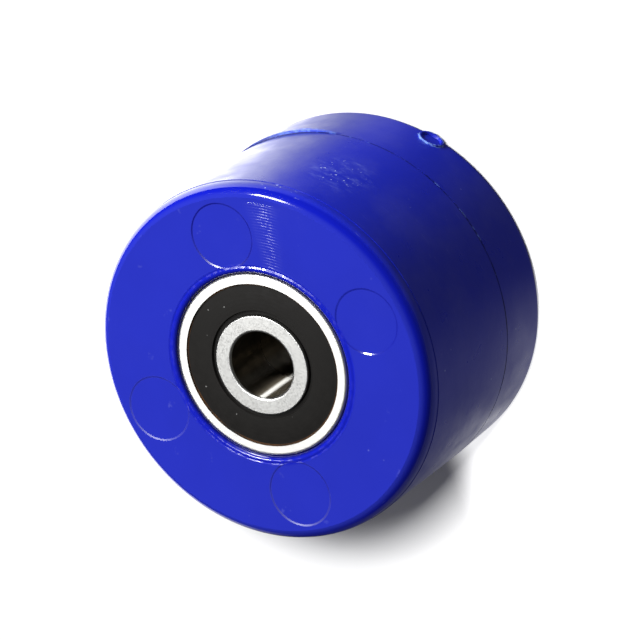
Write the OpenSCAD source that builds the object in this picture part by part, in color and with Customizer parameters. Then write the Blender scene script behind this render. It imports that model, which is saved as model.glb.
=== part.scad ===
// Chain guide roller: a moulded plastic roller that turns on two sealed ball bearings with a
// spacer tube between them. It stands on its rear face, and its axis is Z. All sizes are in mm.

/* [Roller body] */
// Largest diameter, at the parting line
body_od = 43.4; // [41:0.2:60]
// Width over the two end faces
body_w = 29; // [24:0.5:40]
// Height of the parting line above the rear face
parting_h = 9.7; // [7:0.1:12]
// Draft of the long front half, in degrees
front_draft = 0.3; // [0.1:0.1:1.5]
// Draft of the short rear half, in degrees
rear_draft = 1.2; // [0.1:0.1:2.5]
// Rounding between each end face and the barrel
rim_r = 1.8; // [1:0.1:3]
// Width of the plain band between the rim and its witness line
witness_band = 0.4; // [0.2:0.1:1.5]
// Height of the small step at the witness line
witness_step = 0.06; // [0.02:0.01:0.15]
// Depth of the fine groove where the two mould halves meet
parting_groove = 0.08; // [0.03:0.01:0.2]
// Rounding of the pocket mouths
mouth_r = 0.7; // [0.3:0.1:1]
// Radial width of the shoulder that each bearing rests on
shoulder_w = 2; // [1:0.1:2.2]

/* [Mould marks] */
// Diameter of the four ejector pin marks
pin_d = 7.8; // [5:0.1:7.8]
// Depth of the pin marks
pin_depth = 0.05; // [0.03:0.01:0.2]
// Angle of the first pin mark about the axis
pin_angle = -22.2; // [-180:0.1:180]
// Angle between the first and the second pin mark
pin_spread = 77.8; // [60:0.1:120]
// Angle of the gate scar about the axis
gate_angle = -62; // [-180:1:180]
// Width of the gate scar around the rim
gate_w = 2.8; // [1.5:0.1:4]
// Height of the gate scar along the axis
gate_h = 2.2; // [1:0.1:2.5]
// Height at which the gate scar starts above the rear face
gate_z = 1.2; // [0.8:0.1:1.5]
// How far the broken gate stands out of the barrel
gate_proud = 0.25; // [0.1:0.05:0.5]
// Angle of the middle of the flash at the parting line
flash_angle = -21; // [-180:1:180]
// How far the flash stands out of the barrel
flash_proud = 0.5; // [0.2:0.05:0.8]
// Half of the angle that the flash takes up around the barrel
flash_half_angle = 20; // [10:1:30]
// Thickness of the flash
flash_t = 0.5; // [0.2:0.05:0.8]

/* [Bearings] */
// Bore of the inner ring, for the bolt
bearing_bore = 8; // [6:0.5:9]
// Outside diameter of the outer ring
bearing_od = 22; // [21:0.5:24]
// Width of each bearing
bearing_w = 7; // [6.5:0.5:8]
// Depth of each bearing below the end face of the roller
bearing_inset = 0.1; // [0:0.05:0.5]
// Diameter of the balls
ball_d = 3.969; // [3.5:0.001:4.2]
// Number of balls in each bearing
ball_count = 7; // [6:1:8]
// Gap between a ball and each raceway
ball_play = 0.02; // [0.01:0.005:0.04]
// Radius of the raceways as a multiple of the ball radius
race_fit = 1.04; // [1.02:0.01:1.08]
// Depth of the inner raceway below the ring's land
inner_race_depth = 0.5; // [0.4:0.05:0.7]
// Depth of the outer raceway below the ring's land
outer_race_depth = 0.55; // [0.4:0.05:0.7]
// Chamfer of the ring edges at the bore and the outside
ring_chamfer = 0.3; // [0.1:0.05:0.4]
// Chamfer of the inner ring's edge beside the seal
land_chamfer = 0.12; // [0.05:0.01:0.2]

/* [Seals] */
// Width of the outer ring's flat face, from its outside to the seal
ring_face_w = 1.15; // [1:0.05:1.4]
// Depth of the seal's face below the ring faces
seal_inset = 0.15; // [0.05:0.05:0.3]
// Thickness of the seal
seal_t = 0.8; // [0.6:0.05:1]
// How far the seal's bead reaches into its groove
bead_reach = 0.25; // [0.1:0.05:0.35]
// Gap between the seal lip and the inner ring
lip_gap = 0.06; // [0.03:0.01:0.1]
// Width of the thin lip
lip_w = 0.45; // [0.3:0.05:0.6]
// How much the lip lies below the seal's face
lip_drop = 0.3; // [0.1:0.05:0.35]

/* [Ball cage] */
// Radial width of the cage ribbon
cage_w = 1.6; // [1.2:0.1:1.8]
// Thickness of the cage ribbon
cage_t = 0.35; // [0.2:0.05:0.45]
// Gap between a ball and its pocket
pocket_gap = 0.06; // [0.03:0.01:0.1]
// Diameter of the rivet shanks
rivet_d = 0.5; // [0.3:0.05:0.6]
// Diameter of the rivet heads
rivet_head_d = 0.9; // [0.7:0.05:1]
// Height of the rivet heads
rivet_head_h = 0.2; // [0.1:0.05:0.3]

/* [Spacer tube] */
// Outside diameter of the spacer
spacer_od = 11; // [10:0.1:11.5]
// Gap between the bolt and the spacer's bore
spacer_gap = 0.1; // [0.05:0.05:0.25]
// Chamfer of the spacer's ends
spacer_chamfer = 0.3; // [0.1:0.05:0.5]

/* [Hidden] */
SIDES = ["front", "rear"];
BALLS = [for (side = SIDES, n = [1 : ball_count]) str(side, "_ball_", n)];
RINGS = [for (side = SIDES, piece = ["_outer_ring", "_inner_ring", "_cage_outer_half", "_cage_inner_half",
                                     "_outer_seal", "_inner_seal"]) str(side, piece)];

$fn = 96;
BLUE = [0.12, 0.16, 0.78];
STEEL = [0.78, 0.79, 0.8];
RUBBER = [0.13, 0.13, 0.13];
// Extra length that lets a cut pass right through a face
over = 1;

// Roller body
parting_r = body_od / 2;
front_rim_z = body_w - rim_r - witness_band;
witness_r = parting_r - (front_rim_z - parting_h) * tan(front_draft);
front_r = witness_r - witness_step;
rear_r = parting_r - (parting_h - rim_r) * tan(rear_draft);
pocket_r = bearing_od / 2;
pocket_depth = bearing_inset + bearing_w;
waist_r = pocket_r - shoulder_w;
// Flat ring of the end face between the pocket mouth and the rim, with the pin marks in its middle
face_inner_r = pocket_r + mouth_r;
face_outer_r = front_r - rim_r;
pin_ring_r = (face_inner_r + face_outer_r) / 2;
pin_clearance = 0.05;
pin_mark_d = min(pin_d, face_outer_r - face_inner_r - 2 * pin_clearance);
flash_tip_r = parting_r + flash_proud;
// Centre of the arc that leaves the barrel at the flash's two ends and reaches its tip in the middle
flash_offset = (pow(flash_tip_r, 2) - pow(parting_r, 2)) / (2 * (flash_tip_r - parting_r * cos(flash_half_angle)));
flash_r = flash_tip_r - flash_offset;
flash_top = parting_h - parting_groove / 2;

// Bearings
ring_r = bearing_od / 2;
bore_r = bearing_bore / 2;
half_w = bearing_w / 2;
ball_r = ball_d / 2;
pitch_r = (bore_r + ring_r) / 2;
race_r = ball_r * race_fit;
inner_race_r = pitch_r - ball_r - ball_play;
outer_race_r = pitch_r + ball_r + ball_play;
inner_land_r = inner_race_r + inner_race_depth;
outer_land_r = outer_race_r - outer_race_depth;
ball_step = 360 / ball_count;

// Seals, with depths measured down from the ring faces
seal_edge_r = ring_r - ring_face_w;
bead_r = seal_edge_r + bead_reach;
bead_slope = 0.1;
seal_seat_r = seal_edge_r - 0.35;
seal_back = seal_inset + seal_t;
lip_r = inner_land_r + lip_gap;

// Cage and spacer
pocket_ball_r = ball_r + pocket_gap;
cage_inner_r = pitch_r - cage_w / 2;
cage_outer_r = pitch_r + cage_w / 2;
spacer_l = body_w - 2 * pocket_depth;
spacer_bore_r = bore_r + spacer_gap;

function bearing_z(side) =
    side == "front" ? body_w - bearing_inset - half_w : bearing_inset + half_w;

// Half of the roller's section, with true arcs at the rims and the pocket mouths
module body_section() {
    difference() {
        union() {
            polygon([
                [waist_r, 0], [rear_r - rim_r, 0], [rear_r, rim_r], [parting_r, parting_h],
                [witness_r, front_rim_z], [front_r, front_rim_z],
                [front_r, body_w - rim_r], [front_r - rim_r, body_w], [waist_r, body_w]
            ]);
            translate([rear_r - rim_r, rim_r]) circle(rim_r);
            translate([front_r - rim_r, body_w - rim_r]) circle(rim_r);
        }
        translate([parting_r, parting_h]) rotate(45) square(parting_groove * sqrt(2), center = true);
        for (end = [0, 1]) translate([0, end * body_w]) mirror([0, end]) pocket_section();
    }
}

// One bearing pocket with its rounded mouth, seen from the face at height 0
module pocket_section() {
    translate([0, -over]) square([pocket_r, pocket_depth + over]);
    difference() {
        translate([pocket_r - over, -over]) square([mouth_r + over, mouth_r + over]);
        translate([pocket_r + mouth_r, mouth_r]) circle(mouth_r);
    }
}

module pin_mark(angle) {
    rotate(angle) translate([pin_ring_r, 0, body_w - pin_depth]) cylinder(d = pin_mark_d, h = pin_depth + over);
}

// Thin moon of plastic squeezed out at the parting line
module flash() {
    translate([0, 0, flash_top - flash_t]) difference() {
        rotate(flash_angle) translate([flash_offset, 0]) cylinder(r = flash_r, h = flash_t);
        translate([0, 0, -over]) cylinder(r = parting_r - rim_r, h = flash_t + 2 * over);
    }
}

// Broken gate: a stub with a hollow torn end
module gate_scar() {
    stub_l = rim_r + gate_proud;
    rotate(gate_angle) translate([rear_r + gate_proud - stub_l, -gate_w / 2, gate_z]) {
        difference() {
            cube([stub_l, gate_w, gate_h]);
            translate([stub_l + gate_w, gate_w / 2, gate_h / 2]) sphere(gate_w + gate_proud / 2);
        }
    }
}

module roller_body() {
    color(BLUE) difference() {
        union() {
            rotate_extrude() body_section();
            flash();
            gate_scar();
        }
        for (turn = [0, 180], part = [0, 1]) pin_mark(pin_angle - part * pin_spread + turn);
    }
}

module outer_ring_section() {
    difference() {
        polygon([
            [outer_land_r, -half_w], [ring_r - ring_chamfer, -half_w], [ring_r, ring_chamfer - half_w],
            [ring_r, half_w - ring_chamfer], [ring_r - ring_chamfer, half_w], [outer_land_r, half_w]
        ]);
        for (end = [0, 1]) mirror([0, end]) translate([0, half_w]) polygon([
            [outer_land_r - over, over], [seal_edge_r, over], [seal_edge_r, -seal_inset - bead_slope],
            [bead_r, -seal_inset - 2 * bead_slope], [bead_r, bead_slope - seal_back],
            [seal_seat_r, -seal_back], [outer_land_r - over, -seal_back]
        ]);
        translate([outer_race_r - race_r, 0]) circle(race_r);
    }
}

module outer_ring(side) {
    color(STEEL) translate([0, 0, bearing_z(side)]) rotate_extrude() outer_ring_section();
}

module inner_ring_section() {
    difference() {
        polygon([
            [bore_r, ring_chamfer - half_w], [bore_r + ring_chamfer, -half_w], [inner_land_r - land_chamfer, -half_w],
            [inner_land_r, land_chamfer - half_w], [inner_land_r, half_w - land_chamfer],
            [inner_land_r - land_chamfer, half_w], [bore_r + ring_chamfer, half_w], [bore_r, half_w - ring_chamfer]
        ]);
        translate([inner_race_r + race_r, 0]) circle(race_r);
    }
}

module inner_ring(side) {
    color(STEEL) translate([0, 0, bearing_z(side)]) rotate_extrude() inner_ring_section();
}

module ball(side, n) {
    color(STEEL) translate([0, 0, bearing_z(side)]) rotate(n * ball_step) translate([pitch_r, 0]) sphere(ball_r);
}

// Rubber seal: a bead held in the outer ring, a flat face and a thin lip at the inner ring
module seal_section() {
    lip_end = lip_r + lip_w;
    polygon([
        [lip_r, -seal_inset - lip_drop], [lip_end, -seal_inset - lip_drop], [lip_end + bead_slope, -seal_inset],
        [seal_edge_r - bead_slope, -seal_inset], [seal_edge_r, -seal_inset - bead_slope],
        [bead_r, -seal_inset - 2 * bead_slope], [bead_r, bead_slope - seal_back], [seal_seat_r, -seal_back],
        [lip_end + bead_slope, -seal_back], [lip_r, -seal_inset - lip_drop - lip_gap - bead_slope]
    ]);
}

module seal(side, facing_up) {
    color(RUBBER) translate([0, 0, bearing_z(side)]) mirror([0, 0, facing_up ? 0 : 1])
        translate([0, 0, half_w]) rotate_extrude() seal_section();
}

module at_pockets() {
    for (n = [1 : ball_count]) rotate(n * ball_step) translate([pitch_r, 0]) children();
}

module at_rivets() {
    for (n = [1 : ball_count]) rotate((n + 0.5) * ball_step) translate([pitch_r, 0]) children();
}

// Pressed ribbon with a round pocket over each ball, flat side down at height 0
module cage_ribbon() {
    difference() {
        intersection() {
            difference() {
                cylinder(r = cage_outer_r, h = pocket_ball_r + cage_t + over);
                translate([0, 0, -over]) cylinder(r = cage_inner_r, h = pocket_ball_r + cage_t + 3 * over);
            }
            union() {
                cylinder(r = cage_outer_r + over, h = cage_t);
                at_pockets() sphere(pocket_ball_r + cage_t);
            }
        }
        at_pockets() sphere(pocket_ball_r);
    }
}

// The half that carries the rivets
module cage_outer_half(side) {
    color(STEEL) translate([0, 0, bearing_z(side)]) {
        cage_ribbon();
        at_rivets() {
            translate([0, 0, -cage_t]) cylinder(d = rivet_d, h = cage_t);
            translate([0, 0, -cage_t - rivet_head_h]) cylinder(d = rivet_head_d, h = rivet_head_h);
            translate([0, 0, cage_t]) cylinder(d = rivet_head_d, h = rivet_head_h);
        }
    }
}

module cage_inner_half(side) {
    color(STEEL) translate([0, 0, bearing_z(side)]) difference() {
        mirror([0, 0, 1]) cage_ribbon();
        at_rivets() translate([0, 0, -cage_t - over]) cylinder(d = rivet_d, h = cage_t + 2 * over);
    }
}

module spacer_tube() {
    spacer_r = spacer_od / 2;
    color(STEEL) translate([0, 0, pocket_depth]) rotate_extrude() polygon([
        [spacer_bore_r, 0], [spacer_r - spacer_chamfer, 0], [spacer_r, spacer_chamfer],
        [spacer_r, spacer_l - spacer_chamfer], [spacer_r - spacer_chamfer, spacer_l], [spacer_bore_r, spacer_l]
    ]);
}

roller_body();
spacer_tube();
for (side = SIDES) {
    outer_ring(side);
    inner_ring(side);
    cage_outer_half(side);
    cage_inner_half(side);
    seal(side, side == "front");
    seal(side, side == "rear");
    for (n = [1 : ball_count]) ball(side, n);
}
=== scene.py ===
import math
from collections import namedtuple

import bmesh
import bpy
from bpy.props import FloatProperty, FloatVectorProperty, IntProperty, PointerProperty
from mathutils import Matrix, Vector


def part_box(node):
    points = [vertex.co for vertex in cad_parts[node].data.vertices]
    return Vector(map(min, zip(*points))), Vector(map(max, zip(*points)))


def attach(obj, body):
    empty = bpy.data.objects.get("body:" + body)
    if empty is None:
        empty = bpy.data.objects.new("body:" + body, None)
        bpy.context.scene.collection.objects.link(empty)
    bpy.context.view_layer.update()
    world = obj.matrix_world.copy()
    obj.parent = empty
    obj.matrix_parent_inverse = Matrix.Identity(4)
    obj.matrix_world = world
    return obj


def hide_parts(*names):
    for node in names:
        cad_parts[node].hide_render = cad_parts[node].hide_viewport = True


bl_info = {
    "name": "Chain Guide Roller",
    "version": (1, 0, 0),
    "blender": (4, 5, 0),
    "location": "3D View > Sidebar > Roller",
    "description": "Moulded guide roller on two sealed ball bearings, with its studio stage",
    "category": "Mesh",
}

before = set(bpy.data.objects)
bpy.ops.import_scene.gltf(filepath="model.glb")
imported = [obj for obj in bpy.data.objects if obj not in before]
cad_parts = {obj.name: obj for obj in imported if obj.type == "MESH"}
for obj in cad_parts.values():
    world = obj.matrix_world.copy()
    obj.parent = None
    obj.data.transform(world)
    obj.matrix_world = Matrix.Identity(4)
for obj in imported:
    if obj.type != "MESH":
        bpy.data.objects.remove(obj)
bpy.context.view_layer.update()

MM = 0.001
BODY_LOW, BODY_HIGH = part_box("roller_body")
RING_LOW, RING_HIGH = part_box("front_outer_ring")
SPACER_LOW, SPACER_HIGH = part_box("spacer_tube")

# Camera of the photograph: its place in mm, the ways to the picture's right and top, and its lens
CAMERA_PLACE = (0.41, -338.28, 486.71)
CAMERA_RIGHT = (-0.5758, -0.6647, -0.4761)
CAMERA_UP = (0.8176, -0.4681, -0.3353)
FOCAL_PIXELS = 5000
PICTURE_PIXELS = 640
SENSOR_MM = 36

# Way to the camera as the end face mirrors it: the length of each lamp lies along it
MIRROR_WAY = (0, 0.582, 0.813)
LAMP_DISTANCE = 0.7
FLOOR_SIZE = 4

# A lamp's way from the roller, its size in metres, the name of its power, if it lights the floor alone, and
# if glossy faces show it
Lamp = namedtuple("Lamp", "name way across along power floor_only shines")
LAMPS = (
    Lamp("Key panel", (0.835, 0.0, 0.55), 0.35, 0.35, "key", False, False),
    Lamp("Face strip", (0.244, 0.355, 0.902), 0.05, 0.12, "face", False, True),
    Lamp("Rim lamp", (0.676, -0.061, 0.734), 0.14, 0.11, "rim", False, True),
    Lamp("Floor lamp", (0.165, -0.47, 0.867), 0.14, 0.14, "shadow", True, False),
)

# Strength of the painted shade along each pin mark's outline and dullness of its edge, in the order of
# pin_places
PIN_LOOKS = ((1.0, 0.12), (0.6, 0.0), (0.8, 0.26), (0.5, 0.26))

# Faces in each round corner of a section, in each raceway, and round the turned bearing parts
CORNER_STEPS = 12
RING_CORNER_STEPS = 6
LAND_CORNER_STEPS = 4
RACE_STEPS = 14
BEARING_TURNS = 192

# Kinds of socket of the node groups
VECTOR = "NodeSocketVector"
FLOAT = "NodeSocketFloat"


def srgb(red, green, blue):
    """Linear colour of a screen colour given in 0 to 255."""
    def linear(level):
        level = level / 255
        return level / 12.92 if level <= 0.04045 else ((level + 0.055) / 1.055) ** 2.4
    return (linear(red), linear(green), linear(blue), 1.0)


def scaled(tint, level):
    """The tint made darker or lighter."""
    return [channel * level for channel in tint[:3]] + [1.0]


def length(name, description, default):
    return FloatProperty(name=name, description=description, default=default, unit="LENGTH", precision=5)


def angle(name, description, default):
    return FloatProperty(name=name, description=description, default=math.radians(default), subtype="ANGLE")


def colour(name, description, default):
    return FloatVectorProperty(name=name, description=description, default=default, size=4, subtype="COLOR",
                               min=0, max=1)


def share(name, description, default):
    return FloatProperty(name=name, description=description, default=default, min=0, max=1, subtype="FACTOR")


def power(name, description, default):
    return FloatProperty(name=name, description=description, default=default, min=0, unit="POWER")


class RollerBodySizes(bpy.types.PropertyGroup):
    parting_r: length("Parting radius", "Largest radius, where the mould halves meet", -BODY_LOW.x)
    width: length("Width", "Width over the two end faces", BODY_HIGH.z - BODY_LOW.z)
    parting_h: length("Parting height", "Height of the parting line above the rear face", 9.7 * MM)
    front_draft: angle("Front draft", "Draft of the long front half", 0.3)
    rear_draft: angle("Rear draft", "Draft of the short rear half", 1.2)
    rim_r: length("Rim rounding", "Rounding between each end face and the barrel", 1.8 * MM)
    rim_edge: angle("Rim edge", "Angle of the slight edge between the front face and its rounding", 15)
    witness_band: length("Witness band", "Plain band between the rim and its witness line", 0.4 * MM)
    witness_step: length("Witness step", "Step in radius at the witness line", 0.06 * MM)
    parting_groove: length("Parting groove", "Depth of the groove at the parting line", 0.08 * MM)
    mouth_r: length("Mouth rounding", "Rounding of the pocket mouths", 0.7 * MM)
    mouth_edge: length("Mouth edge", "Narrow flat edge beside each rounding of the end faces", 0.05 * MM)
    shoulder_w: length("Shoulder", "Width of the shoulder behind each bearing", 2 * MM)
    turns: IntProperty(name="Steps round", description="Steps of each turned surface", default=256, min=48)


class MouldMarks(bpy.types.PropertyGroup):
    pin_d: length("Pin mark", "Diameter of the ejector pin marks", 7.8 * MM)
    pin_depth: length("Pin depth", "Depth of the pin marks", 0.04 * MM)
    pin_slope: length("Pin slope", "Width of the sloping edge of the pin marks", 0.2 * MM)
    pin_ring_r: length("Pin circle", "Distance of the pin marks from the axis", 15.73 * MM)
    pin_angle: angle("First pin", "Angle of the first pin mark", -22.2)
    pin_spread: angle("Pin spread", "Angle between the first two pin marks", 77.8)
    lip_w: length("Lip width", "Width of the shallow groove round the front pocket's mouth", 0.44 * MM)
    lip_depth: length("Lip depth", "Depth of that groove", 0.035 * MM)
    gate_angle: angle("Gate angle", "Angle of the broken gate", -62)
    gate_w: length("Gate width", "Width of the gate around the rim", 3.1 * MM)
    gate_h: length("Gate height", "Height of the gate along the axis", 2.6 * MM)
    gate_z: length("Gate start", "Height of the gate's lower edge", 1.0 * MM)
    gate_proud: length("Gate proud", "How far the broken gate stands out", 0.25 * MM)
    gate_border: length("Gate border", "Width of the flat border round the torn hollow", 0.22 * MM)
    gate_hollow: length("Gate hollow", "Depth of the torn hollow", 0.3 * MM)
    gate_tear: length("Gate tear", "How rough the torn gate is", 0.14 * MM)
    flash_angle: angle("Flash angle", "Angle of the middle of the flash", -21)
    flash_proud: length("Flash proud", "How far the flash stands out", 0.44 * MM)
    flash_half_angle: angle("Flash half angle", "Half of the angle that the flash takes up", 20)
    flash_t: length("Flash thickness", "Thickness of the flash", 0.5 * MM)
    flash_tear: length("Flash tear", "How rough the squeezed edge of the flash is", 0.12 * MM)


class BearingSizes(bpy.types.PropertyGroup):
    bore_r: length("Bore radius", "Radius of the bolt bore", 4 * MM)
    outside_r: length("Outside radius", "Radius of the outer ring", RING_HIGH.x)
    width: length("Width", "Width of each bearing", RING_HIGH.z - RING_LOW.z)
    inset: length("Inset", "Depth of each bearing below the end face", BODY_HIGH.z - RING_HIGH.z)
    ball_r: length("Ball radius", "Radius of the balls", 1.9845 * MM)
    ball_play: length("Ball play", "Gap between a ball and each raceway", 0.02 * MM)
    race_r: length("Race radius", "Radius of the raceways", 2.0639 * MM)
    inner_race_depth: length("Inner race", "Depth of the inner raceway", 0.5 * MM)
    outer_race_depth: length("Outer race", "Depth of the outer raceway", 0.55 * MM)
    ring_round: length("Ring rounding", "Rounding of the ring edges", 0.3 * MM)
    land_round: length("Land rounding", "Rounding of the inner ring beside the seal", 0.12 * MM)
    edge_hold: length("Edge hold", "Narrow face that keeps the flat beside a rounding flat", 0.03 * MM)
    ring_face_w: length("Ring face", "Width of the outer ring's flat face", 1.15 * MM)
    seal_inset: length("Seal inset", "Depth of the seal below the ring faces", 0.15 * MM)
    seal_t: length("Seal thickness", "Thickness of the seal", 0.8 * MM)
    seal_root: length("Seal root", "How far the step behind the seal reaches inwards", 0.35 * MM)
    bead_reach: length("Bead reach", "How far the seal's bead reaches into its groove", 0.25 * MM)
    bead_slope: length("Bead slope", "Height of each slope of the bead and its groove", 0.1 * MM)
    lip_gap: length("Lip gap", "Gap between the seal lip and the inner ring", 0.06 * MM)
    lip_w: length("Lip width", "Width of the thin lip", 0.45 * MM)
    lip_drop: length("Lip drop", "How much the lip lies below the seal's face", 0.3 * MM)
    spacer_r: length("Spacer radius", "Outside radius of the spacer tube", SPACER_HIGH.x)
    spacer_gap: length("Spacer gap", "Gap between the bolt and the spacer's bore", 0.1 * MM)
    spacer_edge: length("Spacer edge", "Chamfer of the spacer's ends", 0.3 * MM)


class RollerFinish(bpy.types.PropertyGroup):
    plastic: colour("Plastic", "Blue of the flat, slightly dulled end faces", (0.0155, 0.0235, 0.365, 1))
    # Deep blue: the rims' own colour, and also painted on each pocket mouth as shade of the recess
    deep: colour("Deep plastic", "Blue of the glossy rims and pocket mouths", (0.0035, 0.008, 0.36, 1))
    barrel: colour("Barrel", "Blue of the worn, dusty barrel", (0.009, 0.019, 0.50, 1))
    # Duller, greyer blue on the barrel's side towards the key panel: partly dust, partly a painted highlight
    # that makes that side's highlight look whiter
    dust_and_sheen: colour("Dust film", "Duller blue of the barrel under its dust film", (0.02, 0.03, 0.28, 1))
    haze: colour("Haze", "Pale blue of the cloudy haze on the barrel", srgb(120, 124, 190))
    # Painted shade along the sloping edge of each pin mark
    pin_edge_shade: colour("Pin outline", "Dark blue outline of the pin marks", srgb(10, 14, 120))
    # Painted shade in the groove of the parting line
    seam: colour("Parting line", "Dark blue where the mould halves meet", srgb(8, 10, 70))
    crumb: colour("Crumbs", "Light blue crumbs beside the parting line", srgb(96, 124, 226))
    thin_edge: colour("Thin edge", "Blue of thin flash, where light comes through", srgb(46, 72, 205))
    flash_bead: colour("Flash beads", "Lighter blue where the flash is thinnest", srgb(92, 128, 236))
    flash_tail: colour("Flash tail", "Grey blue of the flash where it lies in the shade", srgb(40, 42, 84))
    stress: colour("Stress whitening", "Pale blue of torn plastic", srgb(140, 175, 238))
    scuff: colour("Scuffs", "Pale blue of the smeared scuffs", srgb(150, 165, 240))
    chip: colour("Chips", "Nearly white specks of chipped plastic", srgb(205, 215, 250))
    nick: colour("Nicks", "Pale blue of nicks and scratches", srgb(190, 200, 250))
    # Painted shade in the gap round each bearing
    painted_gap_shade: colour("Gap dirt", "Dark blue of the dirt round each bearing", srgb(6, 8, 62))
    rubber: colour("Rubber", "Black of the seals", srgb(25, 24, 23))
    rubber_dust: colour("Rubber dust", "Grey of the dust on the seals", srgb(150, 150, 148))
    grease: colour("Grease", "Amber of the grease line round the seals", srgb(78, 50, 24))
    ring_steel: colour("Ring steel", "Ground steel of the rings", srgb(248, 248, 245))
    bore_steel: colour("Bore steel", "Darker steel inside the bore", srgb(118, 110, 96))
    # Painted highlight: a bright line along one side of the bore
    bore_highlight: colour("Rubbed steel", "Bright line rubbed in the bore by a bolt", srgb(235, 234, 228))
    spacer_steel: colour("Spacer steel", "Turned steel of the spacer tube", srgb(150, 148, 144))
    ball_steel: colour("Ball steel", "Polished steel of the balls", srgb(226, 228, 230))
    cage_steel: colour("Cage steel", "Pressed steel of the cages", srgb(176, 172, 164))
    face_roughness: share("Face roughness", "Roughness of the moulded end faces", 0.08)
    barrel_roughness: share("Barrel roughness", "Roughness of the barrel", 0.32)
    # Middle of the dust and painted highlight on the barrel, on the key panel's side
    dust_and_sheen_angle: angle("Dust angle", "Angle of the middle of the dusty side of the barrel", -5)
    turning_pitch: length("Turning pitch", "Distance between the turned marks on the front face", 0.34 * MM)
    turning_angle: angle("Turning angle", "Angle of the strip where the turned marks show", -46.6)
    turning_r: length("Turning radius", "Distance from the axis where it has that angle", 13.5 * MM)
    turning_sweep: angle("Turning sweep", "Turn of the strip for each mm further out", 1)
    scuff_angle: angle("Scuff angle", "Angle of the middle of the scuffs on the barrel", -54)
    scuff_h: length("Scuff height", "Height of the middle of the scuffs", 19.5 * MM)
    scuff_slant: angle("Scuff slant", "Slant of the strokes of the scuffs", -35)
    chip_angle: angle("Chip angle", "Angle of the chipped stretch of the front rim", -45.8)
    # Side of the bore that carries the painted highlight
    bore_highlight_angle: angle("Rubbed angle", "Angle of the rubbed line in the bore", 139)


class StageLight(bpy.types.PropertyGroup):
    floor: colour("Floor", "Colour of the floor", (0.92, 0.92, 0.92, 1))
    key: power("Key", "Power of the large side panel", 6.6)
    face: power("Face", "Power of the strip over the end face", 2.4)
    rim: power("Rim", "Power of the small lamp on the rim", 2.2)
    shadow: power("Shadow", "Power of the floor's own lamp", 7.4)
    sky: share("Sky", "Strength of the even light from all round", 0.12)


# Shader tools


class Nodes:
    """Adds nodes to one shader tree. An input is a value or a socket, and a result is a socket."""

    def __init__(self, tree, place=None):
        self.tree = tree
        self.place = place

    def fill(self, node, inputs):
        """Fills inputs of a node, each given by its name or its number."""
        for key, value in inputs.items():
            if isinstance(value, bpy.types.NodeSocket):
                self.tree.links.new(value, node.inputs[key])
            else:
                node.inputs[key].default_value = value

    def add(self, kind, inputs, **settings):
        """Adds a node with its settings and inputs."""
        node = self.tree.nodes.new(kind)
        for name, value in settings.items():
            setattr(node, name, value)
        self.fill(node, inputs)
        return node

    def group(self, tree, inputs):
        """Adds a node group and gives its outputs."""
        return self.add("ShaderNodeGroup", inputs, node_tree=tree).outputs

    def math(self, operation, first, second=0.0, third=0.0, clamp=False):
        inputs = {0: first, 1: second, 2: third}
        return self.add("ShaderNodeMath", inputs, operation=operation, use_clamp=clamp).outputs[0]

    def vector(self, operation, first, second=(0, 0, 0)):
        node = self.add("ShaderNodeVectorMath", {0: first, 1: second}, operation=operation)
        return node.outputs["Value" if operation == "LENGTH" else "Vector"]

    def plus(self, first, second, clamp=False):
        return self.math("ADD", first, second, clamp=clamp)

    def minus(self, first, second):
        return self.math("SUBTRACT", first, second)

    def times(self, first, *others):
        """Product of two or more values."""
        for other in others:
            first = self.math("MULTIPLY", first, other)
        return first

    def plus_share(self, total, value, part):
        """The total with a part of the value added."""
        return self.math("MULTIPLY_ADD", value, part, total)

    def larger(self, first, second):
        return self.math("MAXIMUM", first, second)

    def ramp(self, value, low, high, to_low=0.0, to_high=1.0):
        """Goes smoothly from one level to the other while the value goes from low to high."""
        inputs = {"Value": value, "From Min": low, "From Max": high, "To Min": to_low, "To Max": to_high}
        return self.add("ShaderNodeMapRange", inputs, interpolation_type="SMOOTHSTEP").outputs["Result"]

    def distance(self, value, middle):
        return self.math("ABSOLUTE", self.minus(value, middle))

    def band(self, value, middle, inner, outer, level=1.0):
        """The level near the middle, fading to nothing between the inner and the outer distance from it."""
        return self.ramp(self.distance(value, middle), inner, outer, level, 0.0)

    def mix(self, part, first, second):
        """Colour between the first and the second."""
        return self.add("ShaderNodeMix", {"Factor": part, 6: first, 7: second}, data_type="RGBA").outputs[2]

    def noise(self, scale, detail=2.0, roughness=0.5, at=None):
        """Cloudy noise at a place, with its scale in waves per mm."""
        inputs = {"Vector": self.place if at is None else at, "Scale": scale, "Detail": detail,
                  "Roughness": roughness}
        return self.add("ShaderNodeTexNoise", inputs).outputs["Fac"]

    def bump(self, height, depth):
        """Normal of a relief whose height of 1 is this deep."""
        inputs = {"Height": height, "Distance": depth, "Strength": 1.0}
        return self.add("ShaderNodeBump", inputs).outputs["Normal"]


def open_group(name, inputs, outputs):
    """Starts a shader node group with named inputs and outputs."""
    tree = bpy.data.node_groups.new(name, "ShaderNodeTree")
    for label, kind, value in inputs:
        socket = tree.interface.new_socket(name=label, in_out="INPUT", socket_type=kind)
        if value is not None:
            socket.default_value = value
    for label, kind in outputs:
        tree.interface.new_socket(name=label, in_out="OUTPUT", socket_type=kind)
    source = tree.nodes.new("NodeGroupInput").outputs
    return Nodes(tree, source.get("Place")), source


def close_group(nodes, results):
    """Feeds the results into the outputs of the group."""
    nodes.fill(nodes.tree.nodes.new("NodeGroupOutput"), results)
    return nodes.tree


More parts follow.
